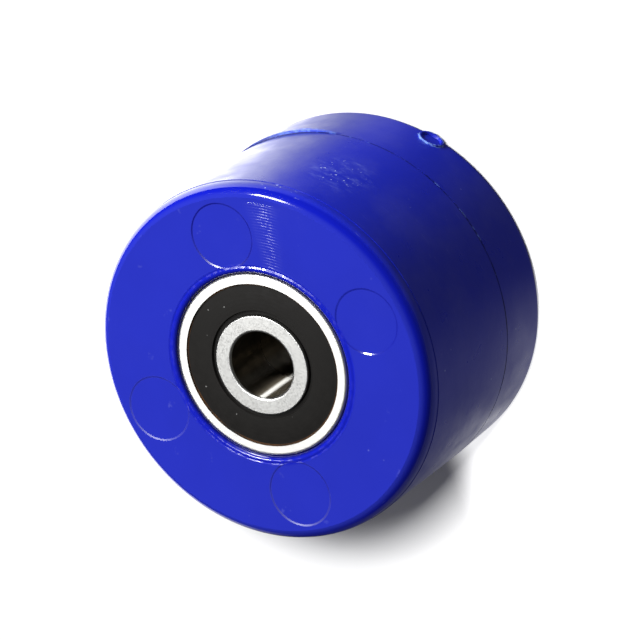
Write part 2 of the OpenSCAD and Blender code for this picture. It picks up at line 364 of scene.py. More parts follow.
def turned_place_group():
    """Place on a turned part in mm: radius, angle and height about its axis."""
    name = "Turned place"
    if name in bpy.data.node_groups:
        return bpy.data.node_groups[name]
    outputs = (("Place", VECTOR), ("Radius", FLOAT), ("Angle", FLOAT), ("Height", FLOAT))
    nodes, source = open_group(name, (("Object", VECTOR, None),), outputs)
    place = nodes.vector("MULTIPLY", source["Object"], (1 / MM, 1 / MM, 1 / MM))
    parts = nodes.add("ShaderNodeSeparateXYZ", {0: place}).outputs
    squares = nodes.plus_share(nodes.times(parts["X"], parts["X"]), parts["Y"], parts["Y"])
    turn = nodes.math("ARCTAN2", parts["Y"], parts["X"])
    return close_group(nodes, {"Place": place, "Radius": nodes.math("SQRT", squares), "Angle": turn,
                               "Height": parts["Z"]})


def round_mark_group():
    """Thin line along the edge of a round mark."""
    name = "Round mark"
    if name in bpy.data.node_groups:
        return bpy.data.node_groups[name]
    inputs = (("Place", VECTOR, None), ("Centre", VECTOR, None), ("Mark radius", FLOAT, 3.9),
              ("Line width", FLOAT, 0.17))
    nodes, source = open_group(name, inputs, (("Line", FLOAT),))
    offset = nodes.vector("SUBTRACT", source["Place"], source["Centre"])
    reach = nodes.vector("LENGTH", nodes.vector("MULTIPLY", offset, (1, 1, 0)))
    return close_group(nodes, {"Line": nodes.band(reach, source["Mark radius"], 0.0, source["Line width"])})


def tool_mark_group():
    """Height of fine turned or ground rings, broken up so that they come and go."""
    name = "Tool marks"
    if name in bpy.data.node_groups:
        return bpy.data.node_groups[name]
    inputs = (("Place", VECTOR, None), ("Across", FLOAT, 0.0), ("Pitch", FLOAT, 0.4),
              ("Break up", FLOAT, 0.5))
    nodes, source = open_group(name, inputs, (("Height", FLOAT),))
    across = nodes.plus_share(source["Across"], nodes.noise(0.9, 1.0), 0.1)
    wave = nodes.math("SINE", nodes.math("DIVIDE", nodes.times(across, 2 * math.pi), source["Pitch"]))
    missing = nodes.minus(1.0, nodes.ramp(nodes.noise(1.6, 3.0), 0.35, 0.6))
    fade = nodes.minus(1.0, nodes.times(source["Break up"], missing))
    return close_group(nodes, {"Height": nodes.times(wave, fade)})


def wear_group():
    """Masks of use: cloudy haze, fine scratches and small nicks."""
    name = "Handling wear"
    if name in bpy.data.node_groups:
        return bpy.data.node_groups[name]
    inputs = (("Place", VECTOR, None), ("Nick size", FLOAT, 0.07))
    nodes, source = open_group(name, inputs, (("Haze", FLOAT), ("Scratches", FLOAT), ("Nicks", FLOAT)))
    haze = nodes.ramp(nodes.noise(0.16, 4.0, 0.6), 0.42, 0.68)
    stretched = nodes.add("ShaderNodeMapping", {"Vector": nodes.place, "Scale": (0.5, 0.5, 7.0),
                                                "Rotation": (0.3, 0.2, 0.5)}).outputs[0]
    scratches = nodes.ramp(nodes.noise(0.9, 5.0, 0.6, stretched), 0.66, 0.74)
    dots = nodes.add("ShaderNodeTexVoronoi", {"Vector": nodes.place, "Scale": 0.42, "Randomness": 1.0})
    few = nodes.ramp(nodes.noise(0.11, 1.0), 0.55, 0.62)
    nicks = nodes.ramp(dots.outputs["Distance"], 0.0, source["Nick size"], 1.0, 0.0)
    return close_group(nodes, {"Haze": haze, "Scratches": scratches, "Nicks": nodes.times(nicks, few)})


def tool_marks(nodes, across, pitch, break_up=0.5):
    """Height of tool marks of a pitch in mm."""
    inputs = {"Place": nodes.place, "Across": across, "Pitch": pitch, "Break up": break_up}
    return nodes.group(tool_mark_group(), inputs)["Height"]


def start_material(name):
    """New material, its nodes, its Principled shader and the place on the turned part."""
    material = bpy.data.materials.new(name)
    material.use_nodes = True
    tree = material.node_tree
    nodes = Nodes(tree)
    coordinates = tree.nodes.new("ShaderNodeTexCoord").outputs["Object"]
    turned = nodes.group(turned_place_group(), {"Object": coordinates})
    nodes.place = turned["Place"]
    return material, nodes, tree.nodes["Principled BSDF"], turned


def give(obj, material):
    """The object wears this material alone."""
    obj.data.materials.clear()
    obj.data.materials.append(material)


# Blue plastic, whose distances are in mm


def pin_places(marks):
    """Centres of the four pin marks: the first two, then the two opposite them."""
    for half_turn in (0.0, math.pi):
        for pin in (0, 1):
            turn = marks.pin_angle - pin * marks.pin_spread + half_turn
            yield marks.pin_ring_r * math.cos(turn), marks.pin_ring_r * math.sin(turn)


def moulded_blue(nodes, turned, on_barrel, haze):
    """Blue of the body: dulled on the end faces, deep on the rims, and on the barrel's side towards the key
    panel a duller, greyer dust that is partly a painted highlight, so that the highlight there looks whiter.
    """
    finish = bpy.context.scene.roller_finish
    half_width = bpy.context.scene.roller_body_sizes.width / 2 / MM
    cloud = nodes.ramp(nodes.noise(0.12, 3.0), 0.3, 0.7, 0.0, 0.35)
    base = nodes.mix(cloud, finish.plastic, scaled(finish.plastic, 0.86))
    from_middle = nodes.distance(turned["Height"], half_width)
    on_ends = nodes.ramp(from_middle, half_width - 0.4, half_width - 0.04)
    base = nodes.mix(on_ends, finish.deep, base)
    # Dust and painted highlight on the barrel's side towards the key panel
    upward = nodes.math("COSINE", nodes.minus(turned["Angle"], finish.dust_and_sheen_angle))
    dust_and_sheen = nodes.mix(nodes.ramp(upward, 0.7, 0.95), finish.barrel, finish.dust_and_sheen)
    base = nodes.mix(on_barrel, base, dust_and_sheen)
    return nodes.mix(nodes.times(haze, on_barrel, 0.06), base, finish.haze)


def pin_outlines(nodes, on_front):
    """Masks of the painted shade along the edges of the pin marks, and of how dull their edges are."""
    marks = bpy.context.scene.roller_mould_marks
    pin_shade, dull = 0.0, 0.0
    for (x, y), (strength, edge_dull) in zip(pin_places(marks), PIN_LOOKS):
        inputs = {"Place": nodes.place, "Centre": (x / MM, y / MM, 0.0), "Mark radius": marks.pin_d / 2 / MM}
        line = nodes.group(round_mark_group(), inputs)["Line"]
        pin_shade = nodes.larger(pin_shade, nodes.times(line, strength))
        dull = nodes.plus_share(dull, nodes.math("MULTIPLY", line, 3.0, clamp=True), edge_dull)
    faded = nodes.ramp(nodes.noise(0.3), 0.3, 0.6, 0.6, 1.0)
    return nodes.times(pin_shade, on_front, faded), nodes.times(dull, on_front)


def parting_colours(nodes, turned, base, on_barrel):
    """Flash that light comes through, painted shade along the parting groove where the mould halves meet,
    and crumbs beside it.
    """
    finish = bpy.context.scene.roller_finish
    sizes = bpy.context.scene.roller_body_sizes
    barrel_r, parting_h = sizes.parting_r / MM, sizes.parting_h / MM
    thin = nodes.ramp(turned["Radius"], barrel_r + 0.03, barrel_r + 0.15)
    near_parting = nodes.band(turned["Height"], parting_h, 0.7, 0.9)
    beads = nodes.ramp(nodes.noise(1.6), 0.45, 0.62)
    shaded = nodes.ramp(turned["Angle"], -0.5, -0.2, 0.0, 0.7)
    edge_blue = nodes.mix(shaded, nodes.mix(beads, finish.thin_edge, finish.flash_bead), finish.flash_tail)
    base = nodes.mix(nodes.times(thin, near_parting), base, edge_blue)

    # Painted shade along the parting groove, in patches, off the flash and on the barrel alone
    seam = nodes.band(turned["Height"], parting_h, 0.05, 0.22, 0.7)
    patches = nodes.ramp(nodes.noise(0.5), 0.3, 0.6, 0.35, 1.0)
    seam = nodes.times(seam, patches, nodes.minus(1.0, thin), on_barrel)
    base = nodes.mix(seam, base, finish.seam)
    crumbs = nodes.ramp(nodes.noise(0.8, 3.0, 0.6), 0.55, 0.62, 0.0, 0.6)
    crumb_below_seam = 0.12
    below_seam = nodes.band(turned["Height"], parting_h - crumb_below_seam, 0.05, 0.14)
    return nodes.mix(nodes.times(crumbs, below_seam, on_barrel), base, finish.crumb)


def torn_gate_border(nodes):
    """Mask of the whitened, torn border of the gate."""
    marks = bpy.context.scene.roller_mould_marks
    middle_h = (marks.gate_z + marks.gate_h / 2) / MM
    local = nodes.add("ShaderNodeVectorRotate", {"Vector": nodes.place, "Angle": -marks.gate_angle},
                      rotation_type="Z_AXIS").outputs[0]
    parts = nodes.add("ShaderNodeSeparateXYZ", {0: local}).outputs
    across = nodes.math("DIVIDE", parts["Y"], marks.gate_w / 2 / MM)
    along = nodes.math("DIVIDE", nodes.minus(parts["Z"], middle_h), marks.gate_h / 2 / MM)
    reach = nodes.math("SQRT", nodes.plus_share(nodes.times(along, along), across, across))
    ragged_reach = nodes.plus_share(reach, nodes.noise(2.2, 3.0), 0.5)
    edge_reach = 1.25
    barrel_r = bpy.context.scene.roller_body_sizes.parting_r / MM
    outside = nodes.math("GREATER_THAN", parts["X"], barrel_r - 2.0)
    return nodes.times(nodes.band(ragged_reach, edge_reach, 0.01, 0.09, 0.8), outside)


def scuffed(nodes, turned, base, on_barrel):
    """Smears of old scuffs on the barrel, with chipped specks among them and on the rim beside them."""
    finish = bpy.context.scene.roller_finish
    sizes = bpy.context.scene.roller_body_sizes
    around = nodes.times(nodes.minus(turned["Angle"], finish.scuff_angle), sizes.parting_r / MM)
    upward = nodes.minus(turned["Height"], finish.scuff_h / MM)
    spot = nodes.add("ShaderNodeCombineXYZ", {0: around, 1: upward}).outputs[0]
    slanted = nodes.add("ShaderNodeMapping", {"Vector": spot, "Rotation": (0, 0, finish.scuff_slant),
                                              "Scale": (0.6, 1.3, 1.0)}).outputs[0]
    strokes = nodes.ramp(nodes.noise(0.8, 6.0, 0.7, slanted), 0.45, 0.75)
    half_sizes = (5.0, 5.9, 1.0)
    reach = nodes.vector("LENGTH", nodes.vector("DIVIDE", spot, half_sizes))
    near = nodes.ramp(reach, 0.3, 1.0, 1.0, 0.0)
    base = nodes.mix(nodes.times(strokes, near, on_barrel, 0.3), base, finish.scuff)

    chip_below_face = 1.5
    on_rim = nodes.band(turned["Height"], sizes.width / MM - chip_below_face, 0.4, 0.8)
    rim_patch = nodes.band(turned["Angle"], finish.chip_angle, 0.08, 0.16)
    among_scuffs = nodes.times(nodes.math("POWER", near, 3.0), on_barrel)
    chipped = nodes.larger(nodes.times(on_rim, rim_patch), among_scuffs)
    specks = nodes.ramp(nodes.noise(2.6, 1.0), 0.68, 0.72, 0.0, 0.75)
    return nodes.mix(nodes.times(specks, chipped), base, finish.chip)


def plastic_roughness(nodes, on_barrel, haze, mouth):
    """Glossy end faces, a patchy satin barrel and slightly rubbed pocket mouths."""
    finish = bpy.context.scene.roller_finish
    rough = nodes.ramp(on_barrel, 0.0, 1.0, finish.face_roughness, finish.barrel_roughness)
    rough = nodes.plus_share(rough, haze, 0.05)
    patchy = nodes.times(nodes.minus(nodes.noise(0.35), 0.5), on_barrel)
    rough = nodes.plus_share(rough, patchy, 0.28)
    rubbed = nodes.ramp(nodes.noise(1.1), 0.42, 0.6, 0.0, 0.14)
    return nodes.plus_share(rough, rubbed, mouth)


def turned_strip(nodes, turned, on_front):
    """Relief of the turned marks, which show along one strip of the front face, and its dullness."""
    finish = bpy.context.scene.roller_finish
    face_r = bpy.context.scene.roller_body_sizes.parting_r / MM - 2.0
    on_face = nodes.times(on_front, nodes.math("LESS_THAN", turned["Radius"], face_r))
    outward = nodes.minus(turned["Radius"], finish.turning_r / MM)
    swept = nodes.plus_share(finish.turning_angle, outward, finish.turning_sweep)
    off_strip = nodes.distance(turned["Angle"], swept)
    rings = nodes.times(tool_marks(nodes, turned["Radius"], finish.turning_pitch / MM, 0.6), on_face)
    rings = nodes.times(rings, nodes.ramp(off_strip, 0.03, 0.11, 1.0, 0.12))
    return rings, nodes.times(nodes.ramp(off_strip, 0.08, 0.14, 0.07, 0.0), on_face)


def plastic_material():
    """Blue moulded plastic with its mould marks, dust, scuffs, nicks and torn gate."""
    name = "Moulded blue plastic"
    if name in bpy.data.materials:
        return bpy.data.materials[name]
    scene = bpy.context.scene
    finish = scene.roller_finish
    sizes = scene.roller_body_sizes
    material, nodes, shader, turned = start_material(name)
    radius, height = turned["Radius"], turned["Height"]
    barrel_r, width = sizes.parting_r / MM, sizes.width / MM
    pocket_r = scene.roller_bearing_sizes.outside_r / MM
    wear = nodes.group(wear_group(), {"Place": nodes.place})
    on_barrel = nodes.ramp(radius, barrel_r - 0.5, barrel_r - 0.2)
    on_front = nodes.ramp(height, width - 0.4, width - 0.2)

    base = moulded_blue(nodes, turned, on_barrel, wear["Haze"])
    pin_shade, pin_dull = pin_outlines(nodes, on_front)
    # Painted shade along the edges of the pin marks
    base = nodes.mix(pin_shade, base, finish.pin_edge_shade)
    base = parting_colours(nodes, turned, base, on_barrel)
    torn = torn_gate_border(nodes)
    base = scuffed(nodes, turned, nodes.mix(torn, base, finish.stress), on_barrel)

    # Painted shade round each pocket: deeper blue on its mouth, and dark blue in the gap round each bearing
    mouth = nodes.ramp(radius, pocket_r + 0.95, pocket_r + 1.3, 1.0, 0.0)
    base = nodes.mix(nodes.times(mouth, 0.8), base, finish.deep)
    gap = nodes.ramp(radius, pocket_r + 0.12, pocket_r + 0.55, 0.85, 0.0)
    base = nodes.mix(gap, base, finish.painted_gap_shade)

    # Nicks and scratches, which show most on the barrel
    nicks = nodes.larger(wear["Nicks"], nodes.times(wear["Scratches"], 0.25))
    nicks = nodes.times(nicks, nodes.ramp(on_barrel, 0.0, 1.0, 0.2, 0.5))
    base = nodes.mix(nicks, base, finish.nick)

    # Turned marks, the barrel's uneven skin and the flow marks round the front mouth
    rings, strip_dull = turned_strip(nodes, turned, on_front)
    skin = nodes.times(nodes.noise(1.4, 3.0), on_barrel, 2.0)
    flow_r = pocket_r + 0.85
    flow = nodes.times(nodes.band(radius, flow_r, 0.2, 0.5, 4.0), on_front, nodes.noise(1.2))
    relief = nodes.plus(nodes.plus(rings, skin), flow)

    rough = nodes.plus(plastic_roughness(nodes, on_barrel, wear["Haze"], mouth), pin_dull)
    rough = nodes.plus(rough, nodes.times(torn, 0.3), clamp=True)
    nodes.fill(shader, {"Base Color": base, "Roughness": nodes.plus(rough, strip_dull), "IOR": 1.5,
                        "Normal": nodes.bump(relief, 0.0056 * MM)})
    return material


# Steel and rubber


def steel_material(name, tint, roughness, pitch, depth, across="Radius", stained=0.7):
    """Ground or turned steel, with tool marks of a pitch and a depth in mm."""
    if name in bpy.data.materials:
        return bpy.data.materials[name]
    material, nodes, shader, turned = start_material(name)
    stain = nodes.ramp(nodes.noise(0.7, 4.0, 0.6), 0.35, 0.7, 0.0, stained)
    grain = nodes.ramp(nodes.noise(6.0), 0.2, 0.8, roughness * 0.8, roughness * 1.25)
    relief = tool_marks(nodes, turned[across], pitch)
    nodes.fill(shader, {"Base Color": nodes.mix(stain, tint, scaled(tint, 0.82)), "Metallic": 1.0,
                        "Roughness": grain, "Normal": nodes.bump(relief, depth * MM)})
    return material


def bore_material():
    """Dark ground steel of the bores, whose fine round grooves stretch each highlight along the bore, with a
    highlight painted along one side.
    """
    name = "Ground bore steel"
    if name in bpy.data.materials:
        return bpy.data.materials[name]
    finish = bpy.context.scene.roller_finish
    material, nodes, shader, turned = start_material(name)
    stain = nodes.ramp(nodes.noise(0.5, 1.0), 0.35, 0.7)
    steel = nodes.mix(stain, finish.bore_steel, scaled(finish.bore_steel, 0.7))
    # Painted highlight: a bright band along one side of the bore
    rubbed = nodes.band(turned["Angle"], finish.bore_highlight_angle, 0.04, 0.15)
    around = nodes.add("ShaderNodeTangent", {}, direction_type="RADIAL", axis="Z").outputs[0]
    nodes.fill(shader, {"Base Color": nodes.mix(rubbed, steel, finish.bore_highlight), "Metallic": 1.0,
                        "Roughness": nodes.ramp(stain, 0.0, 1.0, 0.48, 0.52), "Anisotropic": 1.0,
                        "Anisotropic Rotation": 0.25, "Tangent": around})
    return material


def rubber_material():
    """Black rubber with dust on it and an oily line at its edge."""
    name = "Seal rubber"
    if name in bpy.data.materials:
        return bpy.data.materials[name]
    finish = bpy.context.scene.roller_finish
    sizes = bpy.context.scene.roller_bearing_sizes
    material, nodes, shader, turned = start_material(name)
    mottle = nodes.noise(1.1, 4.0, 0.6)
    base = nodes.mix(nodes.ramp(mottle, 0.3, 0.75, 0.0, 0.5), finish.rubber, scaled(finish.rubber, 1.5))
    edge_r = (sizes.outside_r - sizes.ring_face_w) / MM
    oily = nodes.ramp(turned["Radius"], edge_r - 0.24, edge_r - 0.1)
    patches = nodes.ramp(nodes.noise(0.2), 0.35, 0.55)
    base = nodes.mix(nodes.times(oily, patches), base, finish.grease)
    dots = nodes.add("ShaderNodeTexVoronoi", {"Vector": nodes.place, "Scale": 0.8}).outputs["Distance"]
    few = nodes.ramp(nodes.noise(0.3, 1.0), 0.55, 0.6)
    base = nodes.mix(nodes.times(nodes.ramp(dots, 0.03, 0.09, 0.6, 0.0), few), base, finish.rubber_dust)
    grain = nodes.plus_share(tool_marks(nodes, turned["Radius"], 0.5), nodes.noise(5.0, 3.0), 1.5)
    nodes.fill(shader, {"Base Color": base, "Roughness": nodes.ramp(mottle, 0.3, 0.7, 0.5, 0.62),
                        "Specular IOR Level": 0.1, "Normal": nodes.bump(grain, 0.0015 * MM)})
    return material


# Floor, where a turn is an angle about the roller's axis, nought on the key's side, and a reach is a
# distance from the axis


def floor_glow(nodes, turn, reach):
    """Strength of the floor as glossy faces mirror it: bright on the key's side, like a lit studio sweep."""
    key_side = nodes.ramp(turn, 1.3, 2.2, 1.0, 0.0)
    sweep = nodes.times(nodes.ramp(turn, -0.6, 0.15), key_side)
    brightest = nodes.times(nodes.ramp(turn, -0.15, 0.25), key_side)
    far_side = nodes.plus(nodes.ramp(turn, -2.5, -1.95, 1.0, 0.0), nodes.ramp(turn, 2.2, 2.9))

    # Close to the roller the glow starts earlier and is stronger, with some straight opposite the key
    close = nodes.ramp(reach, 22 * MM, 31 * MM, 1.0, 0.0)
    close_key = nodes.times(nodes.ramp(turn, -1.1, -0.4), key_side, close)
    close_far = nodes.times(far_side, close)
    opposite = nodes.times(nodes.ramp(nodes.math("ABSOLUTE", turn), 2.85, 3.05),
                           nodes.ramp(reach, 28.5 * MM, 31 * MM, 1.0, 0.0))
    strength = 0.05
    for glow, level in ((sweep, 2.8), (brightest, 1.6), (far_side, 0.15), (close_key, 0.7),
                        (close_far, 0.38), (opposite, 0.4)):
        strength = nodes.plus_share(strength, glow, level)
    return strength


def spilled_light(nodes, turn, reach):
    """Painted light on the floor close to the roller, on the side away from the key: a glow that the camera
    alone sees, as if light spilled there.
    """
    spill = nodes.plus(nodes.ramp(turn, 2.8, 3.05, 0.0, 0.8), nodes.ramp(turn, -2.4, -1.9, 0.8, 0.0))
    return nodes.times(spill, nodes.ramp(reach, 30 * MM, 42 * MM, 1.0, 0.0))


def floor_material(light):
    """Plain pale floor that throws little light back at the roller, that glows in reflections, and that has
    painted light near the roller for the camera.
    """
    material = bpy.data.materials.new("Floor")
    material.use_nodes = True
    tree = material.node_tree
    nodes = Nodes(tree, tree.nodes.new("ShaderNodeTexCoord").outputs["Object"])
    ray = tree.nodes.new("ShaderNodeLightPath").outputs
    parts = nodes.add("ShaderNodeSeparateXYZ", {0: nodes.place}).outputs
    turn = nodes.math("ARCTAN2", parts["Y"], parts["X"])
    reach = nodes.vector("LENGTH", nodes.place)
    shader = tree.nodes["Principled BSDF"]
    base = nodes.mix(ray["Is Diffuse Ray"], light.floor, scaled(light.floor, 0.22))
    spill = nodes.times(spilled_light(nodes, turn, reach), ray["Is Camera Ray"])
    nodes.fill(shader, {"Base Color": base, "Roughness": 0.9, "Specular IOR Level": 0.2,
                        "Emission Color": (1, 1, 1, 1), "Emission Strength": spill})
    glow = nodes.add("ShaderNodeEmission", {"Strength": floor_glow(nodes, turn, reach)}).outputs[0]
    inputs = {0: ray["Is Glossy Ray"], 1: shader.outputs[0], 2: glow}
    mixed = nodes.add("ShaderNodeMixShader", inputs).outputs[0]
    nodes.fill(tree.nodes["Material Output"], {"Surface": mixed})
    return material


# Shaping tools


def arc(centre, radius, start, end, steps=CORNER_STEPS):
    """Points of a round corner in the section plane, angles in degrees."""
    turns = [math.radians(start + (end - start) * step / steps) for step in range(steps + 1)]
    return [(centre[0] + radius * math.cos(turn), centre[1] + radius * math.sin(turn)) for turn in turns]


def select_only(obj):
    bpy.ops.object.select_all(action="DESELECT")
    obj.select_set(True)
    bpy.context.view_layer.objects.active = obj


def draw_section(name, points):
    """Draws a closed section point by point in the plane of X and Z."""
    bpy.ops.object.select_all(action="DESELECT")
    bpy.ops.mesh.primitive_plane_add(size=MM)
    obj = bpy.context.object
    obj.name = obj.data.name = name
    bpy.ops.object.mode_set(mode="EDIT")
    bpy.ops.mesh.select_mode(type="VERT")
    bpy.ops.mesh.select_all(action="SELECT")
    bpy.ops.mesh.merge(type="CENTER")
    last = (0.0, 0.0)
    for count, point in enumerate(points):
        step = (point[0] - last[0], 0.0, point[1] - last[1])
        if count == 0:
            bpy.ops.transform.translate(value=step)
        else:
            bpy.ops.mesh.extrude_vertices_move(TRANSFORM_OT_translate={"value": step})
        last = point
    bpy.ops.mesh.select_all(action="DESELECT")
    mesh = bmesh.from_edit_mesh(obj.data)
    for vertex in mesh.verts:
        vertex.select = len(vertex.link_edges) == 1
    mesh.select_flush_mode()
    bpy.ops.mesh.edge_face_add()
    bpy.ops.object.mode_set(mode="OBJECT")
    return obj


def clean_surface(obj, soft_angle=30):
    """Closes seams, turns faces outwards and smooths the round parts."""
    select_only(obj)
    bpy.ops.object.mode_set(mode="EDIT")
    bpy.ops.mesh.select_all(action="SELECT")
    bpy.ops.mesh.remove_doubles(threshold=0.002 * MM)
    bpy.ops.mesh.normals_make_consistent(inside=False)
    bpy.ops.object.mode_set(mode="OBJECT")
    bpy.ops.object.shade_smooth_by_angle(angle=math.radians(soft_angle))
    return obj


def turn_piece(name, points, steps):
    """Turns a section into a ring about the Z axis."""
    obj = draw_section(name, points)
    bpy.ops.object.mode_set(mode="EDIT")
    bpy.ops.mesh.select_all(action="SELECT")
    bpy.ops.mesh.spin(steps=steps, angle=2 * math.pi, center=(0, 0, 0), axis=(0, 0, 1))
    bpy.ops.object.mode_set(mode="OBJECT")
    return clean_surface(obj)


def combine(obj, tool, operation):
    """Adds or cuts the tool and removes it."""
    select_only(obj)
    cut = obj.modifiers.new("Combine", "BOOLEAN")
    cut.operation = operation
    cut.solver = "EXACT"
    cut.object = tool
    bpy.ops.object.modifier_apply(modifier=cut.name)
    bpy.data.objects.remove(tool)


def roughen(obj, size, depth):
    """Roughens a torn or squeezed edge."""
    texture = bpy.data.textures.new("Torn edge", "CLOUDS")
    texture.noise_scale = size
    select_only(obj)
    push = obj.modifiers.new("Torn edge", "DISPLACE")
    push.texture = texture
    push.texture_coords = "LOCAL"
    push.strength = depth
    push.mid_level = 0.5
    bpy.ops.object.modifier_apply(modifier=push.name)


def select_faces(obj, test):
    """In edit mode, selects the faces whose centre and normal pass the test."""
    bpy.ops.mesh.select_mode(type="FACE")
    bpy.ops.mesh.select_all(action="DESELECT")
    mesh = bmesh.from_edit_mesh(obj.data)
    for face in mesh.faces:
        face.select = test(face.calc_center_median(), face.normal)
    bmesh.update_edit_mesh(obj.data)


class ROLLER_OT_stage(bpy.types.Operator):
    """Sets the camera, the pale floor and the soft studio light"""
    bl_idname = "roller.stage"
    bl_label = "Studio stage"

    def execute(self, context):
        light = context.scene.roller_stage_light
        self.set_camera(context)
        bpy.ops.object.select_all(action="DESELECT")
        bpy.ops.mesh.primitive_plane_add(size=FLOOR_SIZE)
        floor = context.object
        floor.name = "floor"
        give(floor, floor_material(light))
        self.set_sky(context, light)
        self.hang_lamps(context, light, floor)
        return {"FINISHED"}

    def set_camera(self, context):
        """Camera of the photograph, with its directions made square to each other"""
        right = Vector(CAMERA_RIGHT).normalized()
        back = right.cross(Vector(CAMERA_UP)).normalized()
        turn = Matrix((right, back.cross(right).normalized(), back)).transposed()
        camera_data = bpy.data.cameras.new("Camera")
        camera_data.sensor_width = SENSOR_MM
        camera_data.lens = FOCAL_PIXELS / PICTURE_PIXELS * SENSOR_MM
        camera_data.clip_start = 0.01
        camera_data.clip_end = 20
        camera = bpy.data.objects.new("Camera", camera_data)
        camera.matrix_world = Matrix.Translation(Vector(CAMERA_PLACE) * MM) @ turn.to_4x4()
        context.scene.collection.objects.link(camera)
        context.scene.camera = camera
        context.scene.view_settings.view_transform = "Standard"

    def set_sky(self, context, light):
        """Even light from all round, weaker in reflections"""
        world = bpy.data.worlds.new("Studio")
        context.scene.world = world
        world.use_nodes = True
        nodes = Nodes(world.node_tree)
        ray = nodes.add("ShaderNodeLightPath", {}).outputs["Is Glossy Ray"]
        nodes.fill(world.node_tree.nodes["Background"], {
            "Color": (1, 1, 1, 1), "Strength": nodes.ramp(ray, 0.0, 1.0, light.sky, light.sky * 0.3)})

    def hang_lamps(self, context, light, floor):
        """Lamps that light the roller, and one that lights the floor alone and casts its shadow"""
        only_floor = bpy.data.collections.new("Floor alone")
        only_floor.objects.link(floor)
        all_but_floor = bpy.data.collections.new("All but the floor")
        all_but_floor.objects.link(floor)
        all_but_floor.collection_objects[0].light_linking.link_state = "EXCLUDE"
        centre = Vector((0, 0, context.scene.roller_body_sizes.width / 2))
        for lamp in LAMPS:
            lamp_data = bpy.data.lights.new(lamp.name, "AREA")
            lamp_data.shape = "RECTANGLE"
            lamp_data.size = lamp.across
            lamp_data.size_y = lamp.along
            lamp_data.energy = getattr(light, lamp.power)
            panel = bpy.data.objects.new(lamp.name, lamp_data)
            way = Vector(lamp.way).normalized()
            side = way.cross(Vector(MIRROR_WAY)).normalized()
            turn = Matrix((side, way.cross(side), way)).transposed()
            panel.matrix_world = Matrix.Translation(centre + way * LAMP_DISTANCE) @ turn.to_4x4()
            panel.light_linking.receiver_collection = only_floor if lamp.floor_only else all_but_floor
            panel.visible_glossy = lamp.shines
            context.scene.collection.objects.link(panel)


